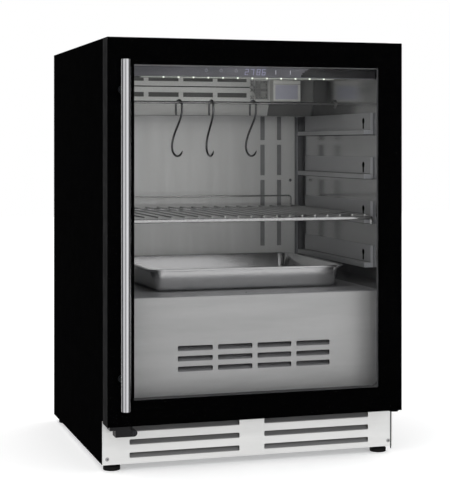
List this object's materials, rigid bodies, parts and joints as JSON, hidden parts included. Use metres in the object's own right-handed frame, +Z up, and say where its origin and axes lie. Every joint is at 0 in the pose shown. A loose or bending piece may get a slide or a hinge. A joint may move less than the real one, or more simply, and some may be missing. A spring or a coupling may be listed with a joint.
{
  "type": "dry aging cabinet",
  "caption": "Under-counter refrigerated cabinet for dry aging meat, with a glazed hinged door, tube handle, hanging rail with hooks, wire shelf on runners, and a tray.",
  "frame": {"origin": "on the floor under the middle of the whole object, handle included", "axes": "+Z up, +X to the right as seen from the front, +Y to the back; the door faces -Y"},
  "size_m": [0.595, 0.621, 0.82],
  "materials": {
    "black_paint": "satin black powder coat",
    "black_plastic": "moulded black",
    "gasket_rubber": "matt black",
    "door_glass": "clear, lightly tinted",
    "brushed_stainless": "brushed",
    "polished_stainless": "polished",
    "dark_stainless": "brushed, in shade",
    "chrome": "polished",
    "galvanised": "zinc coated",
    "aluminium": "mill",
    "foam": "closed-cell foam",
    "grey_plastic": "moulded grey",
    "fascia": "satin grey",
    "light_cover": "translucent white"
  },
  "bodies": {
    "cabinet": {"base_pan": "galvanised", "cabinet_wrapper": "black_paint", "compressor": "black_paint", "condenser": "aluminium", "condenser_fan_frame": "black_plastic", "control_fascia": "fascia", "evaporator": "aluminium", "evaporator_cover": "brushed_stainless", "evaporator_fan_frame": "black_plastic", "floor_plate": "dark_stainless", "hanging_rail": "brushed_stainless", "hinge_bracket_lower": "galvanised", "hinge_bracket_upper": "galvanised", "insulation_base": "foam", "insulation_left": "foam", "insulation_right": "foam", "insulation_top_rear": "foam", "light_strip": "light_cover", "liner": "polished_stainless", "lock_catch": "black_paint", "lower_cover": "brushed_stainless", "plinth_grille": "brushed_stainless", "power_inlet": "black_plastic", "rear_duct_cover": "brushed_stainless", "rear_panel": "galvanised", "rear_service_grille": "galvanised", "runner_left_1": "brushed_stainless", "runner_left_2": "brushed_stainless", "runner_left_3": "brushed_stainless", "runner_left_4": "brushed_stainless", "runner_right_1": "brushed_stainless", "runner_right_2": "brushed_stainless", "runner_right_3": "brushed_stainless", "runner_right_4": "brushed_stainless", "sensor_box": "grey_plastic"},
    "door": {"door_outer_glass": "door_glass", "door_inner_glass": "door_glass", "door_stile_left": "black_paint", "door_stile_right": "black_paint", "door_rail_top": "black_paint", "door_rail_bottom": "black_paint", "door_spacer": "aluminium", "door_gasket": "gasket_rubber", "handle_bar": "brushed_stainless", "handle_post_upper": "brushed_stainless", "handle_post_lower": "brushed_stainless", "door_lock_housing": "black_plastic"},
    "lock_cylinder": {"lock_cylinder": "chrome"},
    "shelf": {"shelf": "chrome"},
    "tray": {"tray": "brushed_stainless"},
    "meat_hook_left": {"meat_hook_left": "chrome"},
    "meat_hook_middle": {"meat_hook_middle": "chrome"},
    "meat_hook_right": {"meat_hook_right": "chrome"},
    "foot_front_left": {"foot_front_left": "black_plastic"},
    "foot_front_right": {"foot_front_right": "black_plastic"},
    "foot_rear_left": {"foot_rear_left": "black_plastic"},
    "foot_rear_right": {"foot_rear_right": "black_plastic"},
    "evaporator_fan_rotor": {"evaporator_fan_rotor": "black_plastic"},
    "condenser_fan_rotor": {"condenser_fan_rotor": "black_plastic"}
  },
  "joints": [
    {"name": "door_hinge", "type": "hinge", "parent": "cabinet", "child": "door", "pos_m": [0.288, -0.2405, 0.093], "axis": [0, 0, 1], "range_deg": [0, 110]},
    {"name": "lock_turn", "type": "hinge", "parent": "door", "child": "lock_cylinder", "pos_m": [-0.2456, -0.2545, 0.0794], "axis": [0, -1, 0], "range_deg": [0, 90]},
    {"name": "shelf_slide", "type": "slide", "parent": "cabinet", "child": "shelf", "axis": [0, -1, 0], "range_m": [0, 0.008]},
    {"name": "tray_slide", "type": "slide", "parent": "cabinet", "child": "tray", "axis": [0, -1, 0], "range_m": [0, 0.065]},
    {"name": "hook_left_swing", "type": "hinge", "parent": "cabinet", "child": "meat_hook_left", "pos_m": [-0.08, 0.0375, 0.708], "axis": [1, 0, 0], "range_deg": [-25, 25]},
    {"name": "hook_middle_swing", "type": "hinge", "parent": "cabinet", "child": "meat_hook_middle", "pos_m": [-0.01, 0.0375, 0.708], "axis": [1, 0, 0], "range_deg": [-25, 25]},
    {"name": "hook_right_swing", "type": "hinge", "parent": "cabinet", "child": "meat_hook_right", "pos_m": [0.084, 0.0375, 0.708], "axis": [1, 0, 0], "range_deg": [-25, 25]},
    {"name": "evaporator_fan_spin", "type": "hinge", "parent": "cabinet", "child": "evaporator_fan_rotor", "pos_m": [0.142, 0.1695, 0.742], "axis": [0, 1, 0], "continuous": true},
    {"name": "condenser_fan_spin", "type": "hinge", "parent": "cabinet", "child": "condenser_fan_rotor", "pos_m": [-0.11, 0.0678, 0.0906], "axis": [0, 1, 0], "continuous": true},
    {"name": "foot_front_left_screw", "type": "slide", "parent": "cabinet", "child": "foot_front_left", "axis": [0, 0, -1], "range_m": [0, 0.02]},
    {"name": "foot_front_right_screw", "type": "slide", "parent": "cabinet", "child": "foot_front_right", "axis": [0, 0, -1], "range_m": [0, 0.02]},
    {"name": "foot_rear_left_screw", "type": "slide", "parent": "cabinet", "child": "foot_rear_left", "axis": [0, 0, -1], "range_m": [0, 0.02]},
    {"name": "foot_rear_right_screw", "type": "slide", "parent": "cabinet", "child": "foot_rear_right", "axis": [0, 0, -1], "range_m": [0, 0.02]}
  ]
}
